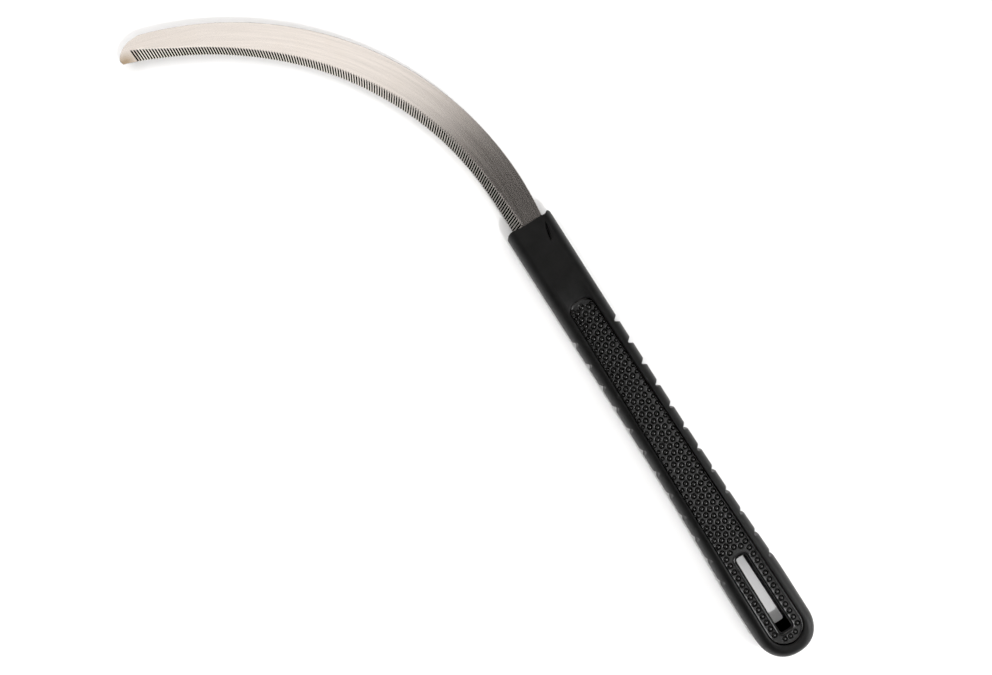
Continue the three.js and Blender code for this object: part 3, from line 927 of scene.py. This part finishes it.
class Nodes:
    """A short way to write a node material."""

    def __init__(self, name):
        self.material = bpy.data.materials.new(name)
        self.material.use_nodes = True
        self.tree = self.material.node_tree
        self.shader = self.tree.nodes["Principled BSDF"]

    def add(self, kind, inputs=None, **settings):
        node = self.tree.nodes.new(kind)
        for key, value in settings.items():
            setattr(node, key, value)
        for key, value in (inputs or {}).items():
            feed(self.tree, node.inputs[key], value)
        return node

    def math(self, operation, a, b):
        return self.add("ShaderNodeMath", {0: a, 1: b}, operation=operation).outputs[0]

    def ramp(self, value, low, high, to_low=0.0, to_high=1.0):
        inputs = {0: value, 1: low, 2: high, 3: to_low, 4: to_high}
        return self.add("ShaderNodeMapRange", inputs).outputs[0]

    def noise(self, vector, scale, detail=2.0, roughness=0.5):
        inputs = {"Vector": vector, "Scale": scale, "Detail": detail, "Roughness": roughness}
        return self.add("ShaderNodeTexNoise", inputs).outputs["Fac"]

    def mix(self, factor, first, second):
        inputs = {0: factor, 6: first, 7: second}
        return self.add("ShaderNodeMix", inputs, data_type="RGBA").outputs[2]

    def place(self):
        return self.add("ShaderNodeTexCoord").outputs["Object"]

    def stored(self, name):
        """A number that store_on_points() left on the mesh."""
        return self.add("ShaderNodeAttribute", attribute_name=name).outputs["Fac"]

    def rougher(self, rough, where, amount):
        return self.math("ADD", rough, self.math("MULTIPLY", where, amount))

    def bump(self, height, distance, strength):
        inputs = {"Height": height, "Distance": distance, "Strength": strength}
        return self.add("ShaderNodeBump", inputs).outputs["Normal"]

    def set(self, **values):
        for key, value in values.items():
            feed(self.tree, self.shader.inputs[key.replace("_", " ")], value)


def grey(value):
    return (value, value, value, 1.0)


# steel: two shades of brushing, warmer patches, the tip's brown corner, ground lands, painted
# shade in the grooves
STEEL_DARKER = (0.66, 0.625, 0.60, 1)
STEEL_LIGHTER = (0.72, 0.683, 0.656, 1)
STEEL_PATCH = (0.67, 0.615, 0.56, 1)
STEEL_TIP_BROWN = (0.40, 0.32, 0.23, 1)
STEEL_LAND = (1.0, 0.96, 0.92, 1)
STEEL_GROOVE_SHADE = (0.006, 0.0055, 0.005, 1)
BRUSH_STRETCH = 0.02  # how much slower the brushing changes along the blade than across it
DULL = 0.45  # added roughness where moulding has left a dull skin


def steel_material():
    """Satin steel brushed along the blade, with painted shade darkening its milled grooves."""
    nodes = Nodes("blade_steel")
    # The blade's own origin is the centre of its curve, so angle and radius follow the brushing.
    split = nodes.add("ShaderNodeSeparateXYZ", {0: nodes.place()})
    x, y = split.outputs[0], split.outputs[1]
    radius = nodes.math("POWER", nodes.math("ADD", nodes.math("MULTIPLY", x, x),
                                            nodes.math("MULTIPLY", y, y)), 0.5)
    angle = nodes.math("ARCTAN2", x, nodes.math("MULTIPLY", y, -1.0))
    arc = nodes.math("MULTIPLY", angle, SPINE_RADIUS * MM)
    along = nodes.math("MULTIPLY", arc, BRUSH_STRETCH)
    brushed = nodes.add("ShaderNodeCombineXYZ", {0: along, 1: radius}).outputs[0]
    fine = nodes.noise(brushed, 2400.0, 3.0, 0.6)
    broad = nodes.noise(brushed, 700.0)
    patches = nodes.noise(nodes.place(), 55.0, 3.0, 0.55)
    groove, land = nodes.stored("groove"), nodes.stored("land")
    colour = nodes.mix(nodes.ramp(fine, 0.3, 0.7), STEEL_DARKER, STEEL_LIGHTER)
    colour = nodes.mix(nodes.ramp(patches, 0.45, 0.7, 0.0, 0.25), colour, STEEL_PATCH)
    colour = nodes.mix(land, colour, STEEL_LAND)
    # the steel is tinted brown towards the tip and its toothed edge
    by_tip = nodes.ramp(arc, *(place * MM for place in TIP_BROWN_ARC))
    by_edge = nodes.ramp(radius, *((SPINE_RADIUS - inward) * MM for inward in TIP_BROWN_INWARD))
    colour = nodes.mix(nodes.math("MULTIPLY", by_tip, by_edge), colour, STEEL_TIP_BROWN)
    # painted shade darkens the grooves
    colour = nodes.mix(groove, colour, STEEL_GROOVE_SHADE)
    rough = nodes.ramp(broad, 0.3, 0.7, 0.2, 0.25)
    rough = nodes.rougher(nodes.rougher(rough, groove, 0.25), land, 0.1)
    across = nodes.add("ShaderNodeCombineXYZ", {0: x, 1: y}).outputs[0]
    nodes.set(Base_Color=colour, Roughness=rough, Metallic=1.0, Anisotropic=0.5,
              Tangent=across, Normal=nodes.bump(fine, 0.00002, 0.04))
    return nodes.material


def plastic_material():
    """Matte black moulded plastic with a fine grain, slightly worn, greyer edges, and painted
    shade on the hanging slot's walls.
    """
    nodes = Nodes("handle_plastic")
    place = nodes.place()
    grain = nodes.noise(place, 4200.0, 2.0, 0.6)
    cloud = nodes.noise(place, 130.0, 4.0, 0.6)
    scuff = nodes.noise(place, 900.0, 3.0, 0.65)
    sharp = nodes.add("ShaderNodeNewGeometry").outputs["Pointiness"]
    worn = nodes.math("MULTIPLY", nodes.ramp(sharp, 0.52, 0.58, 0.0, 0.6),
                      nodes.ramp(scuff, 0.4, 0.7))
    slot_wall_shade_and_dull = nodes.stored("slot_wall_shade_and_dull")
    colour = nodes.mix(nodes.ramp(cloud, 0.35, 0.7), grey(0.004), grey(0.0065))
    colour = nodes.mix(worn, colour, grey(0.03))
    # painted shade: the hanging slot's walls are coloured darker than the rest
    colour = nodes.mix(slot_wall_shade_and_dull, colour, grey(0.001))
    rough = nodes.rougher(nodes.ramp(scuff, 0.3, 0.7, 0.42, 0.54), slot_wall_shade_and_dull, DULL)
    nodes.set(Base_Color=colour, Roughness=rough, Specular_IOR_Level=0.3,
              Normal=nodes.bump(grain, 0.00006, 0.5))
    return nodes.material


def inlay_material():
    """Semi-gloss black soft grip, duller down in its moats."""
    nodes = Nodes("grip_inlay")
    place = nodes.place()
    grain = nodes.noise(place, 3000.0)
    cloud = nodes.noise(place, 260.0, 3.0, 0.6)
    colour = nodes.mix(nodes.ramp(cloud, 0.35, 0.7), grey(0.0015), grey(0.003))
    rough = nodes.rougher(nodes.ramp(cloud, 0.3, 0.7, 0.2, 0.28), nodes.stored("moat"), DULL)
    nodes.set(Base_Color=colour, Roughness=rough, Specular_IOR_Level=0.9,
              Normal=nodes.bump(grain, 0.00003, 0.4))
    return nodes.material


def rivet_material():
    """Plain turned steel."""
    nodes = Nodes("rivet_steel")
    grain = nodes.noise(nodes.place(), 2500.0, 3.0, 0.6)
    colour = nodes.mix(nodes.ramp(grain, 0.3, 0.7), grey(0.42), grey(0.58))
    rough = nodes.ramp(grain, 0.3, 0.7, 0.35, 0.5)
    nodes.set(Base_Color=colour, Roughness=rough, Metallic=1.0,
              Normal=nodes.bump(grain, 0.00002, 0.3))
    return nodes.material


def floor_material():
    """Pale floor; it glows a little far from the lights, so that it stays pale all over."""
    nodes = Nodes("floor")
    place = nodes.place()
    speck = nodes.noise(place, 40.0)
    away = nodes.add("ShaderNodeVectorMath", {0: place}, operation="LENGTH").outputs["Value"]
    glow = nodes.ramp(away, *FLOOR_GLOW_AWAY, *FLOOR_GLOW)
    colour = nodes.mix(nodes.ramp(speck, 0.3, 0.7), grey(0.9), grey(0.92))
    nodes.set(Base_Color=colour, Roughness=0.9, Specular_IOR_Level=0.1,
              Emission_Color=(1, 0.99, 0.98, 1), Emission_Strength=glow)
    return nodes.material


# ---------------- camera, light and floor

CAMERA_X, CAMERA_Y = -16.4, 40.56
CAMERA_ABOVE_BLADE = 541.0
CAMERA_TURN = -122.41
VIEW_WIDTH = 460.8  # at the blade's height
BLACK_LEVEL = 0.0045

FLOOR_HALF = 30000.0
FLOOR_BELOW = 0.02
FLOOR_GLOW_AWAY = (0.45, 1.4)  # the glow grows between these distances from the tool, in metres
FLOOR_GLOW = (0.01, 0.9)

# the studio's brightness by the height of the direction looked in, as its sine
WORLD_STOPS = ((0.0, (0.8, 0.795, 0.79, 1)), (0.45, (0.078, 0.074, 0.072, 1)),
               (0.12, (0.36, 0.355, 0.35, 1)))

WARM = (1, 0.965, 0.925)
# name, place, target, width and height in metres, watts, colour if not white
REFLECTED_LIGHTS = (
    ("blade_card", (0.595, 0.1, 0.8), (0.595, 0.1, 0), (0.74, 0.75), 1.87, WARM),
    ("blade_glow", (0.35, 0.08, 0.79), (0.35, 0.08, 0), (0.2, 0.6), 0.1, WARM),
    ("low_key", (-0.9, -0.45, 0.35), (-0.15, 0, 0), (0.5, 0.4), 1.25),
    ("far_card", (-0.75, 0.95, 0.56), (0.1, 0.05, 0), (1.3, 0.5), 0.45),
    ("by_butt", (-0.40, -0.27, 0.22), (-0.2, 0, 0.01), (0.22, 0.25), 1.1),
    ("by_neck", (0.14, 0.45, 0.3), (0, 0, 0), (0.3, 0.3), 0.15),
    ("softbox", (-0.51, -0.42, 1.5), (-0.51, -0.42, 0), (0.9, 0.62), 2.3),
)
# these light the floor and the matte surfaces, and don't show in the glossy ones
FILL_LIGHTS = (
    ("spot", (-0.53, -0.01, 1.0), (-0.15, 0, 0), (0.05, 0.05), 4.2),
    ("soft_top", (-0.1, 0.05, 1.4), (-0.1, 0.05, 0), (1.6, 1.6), 11.5),
    ("soft_tip", (0.3, 0.16, 0.6), (0.2, 0.12, 0), (0.5, 0.5), 0.9),
)


def make_camera():
    data = bpy.data.cameras.new("camera")
    data.sensor_width = 36.0
    data.lens = data.sensor_width * CAMERA_ABOVE_BLADE / VIEW_WIDTH
    data.clip_start = 0.01
    data.clip_end = 20.0
    camera = add_object("camera", data)
    camera.location = (CAMERA_X * MM, CAMERA_Y * MM, (MID + CAMERA_ABOVE_BLADE) * MM)
    camera.rotation_euler = (0, 0, math.radians(CAMERA_TURN))
    bpy.context.scene.camera = camera


def area_light(name, place, target, size, power, colour=(1, 1, 1)):
    data = bpy.data.lights.new(name, "AREA")
    data.shape = "RECTANGLE"
    data.size, data.size_y = size
    data.energy = power
    data.color = colour
    light = add_object(name, data)
    light.location = place
    aim = Vector(target) - Vector(place)
    light.rotation_euler = aim.to_track_quat("-Z", "Y").to_euler()
    light.visible_camera = False
    return light


def make_world():
    """A studio that is pale round the horizon and dark overhead, where the camera stands."""
    world = bpy.data.worlds.new("studio")
    world.use_nodes = True
    tree = world.node_tree
    background = tree.nodes["Background"]
    direction = tree.nodes.new("ShaderNodeTexCoord")
    split = tree.nodes.new("ShaderNodeSeparateXYZ")
    ramp = tree.nodes.new("ShaderNodeValToRGB")
    tree.links.new(direction.outputs["Generated"], split.inputs[0])
    tree.links.new(split.outputs["Z"], ramp.inputs[0])
    tree.links.new(ramp.outputs[0], background.inputs["Color"])
    ramp.color_ramp.interpolation = "EASE"
    stops = ramp.color_ramp.elements
    low, high, between = WORLD_STOPS
    for stop, (position, colour) in zip(stops, (low, high)):
        stop.position = position
        stop.color = colour
    stops.new(between[0]).color = between[1]
    bpy.context.scene.world = world


def make_lights():
    for row in REFLECTED_LIGHTS:
        area_light(*row)
    for row in FILL_LIGHTS:
        area_light(*row).visible_glossy = False


def make_floor():
    corners = np.array([(-1, -1, 0), (1, -1, 0), (1, 1, 0), (-1, 1, 0)]) * FLOOR_HALF * MM
    corners[:, 2] = -FLOOR_BELOW * MM
    mesh = bpy.data.meshes.new("floor")
    mesh.from_pydata(corners.tolist(), [], [(0, 1, 2, 3)])
    mesh.materials.append(floor_material())
    floor = add_object("floor", mesh)


# ---------------- assembly

def develop():
    """A plain transform with slightly deepened blacks, like the photograph's."""
    view = bpy.context.scene.view_settings
    view.view_transform = "Standard"
    view.use_curve_mapping = True
    view.curve_mapping.black_level = (BLACK_LEVEL,) * 3
    view.curve_mapping.update()


def finish_piece(piece, material, node):
    """Gives a piece its material, and puts it in its CAD node's place."""
    piece.data.materials.clear()
    piece.data.materials.append(material)
    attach(piece, "root")
    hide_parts(node)


def main():
    steel, plastic, rubber = steel_material(), plastic_material(), inlay_material()
    finish_piece(make_blade(), steel, "blade")
    for side, front in (("front", True), ("back", False)):
        shell = make_shell(f"{side}_shell_fine", front)
        finish_piece(shell, plastic, f"handle_{side}_shell")
        inlay = make_inlay(f"{side}_inlay_fine", front)
        finish_piece(inlay, rubber, f"{side}_grip_inlay")
    rivet_steel = rivet_material()
    for number in range(len(RIVETS_BACK)):
        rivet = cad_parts[f"tang_rivet_{number + 1}"]
        rivet.data.materials.clear()
        rivet.data.materials.append(rivet_steel)
    make_floor()
    make_world()
    make_lights()
    make_camera()
    develop()


main()
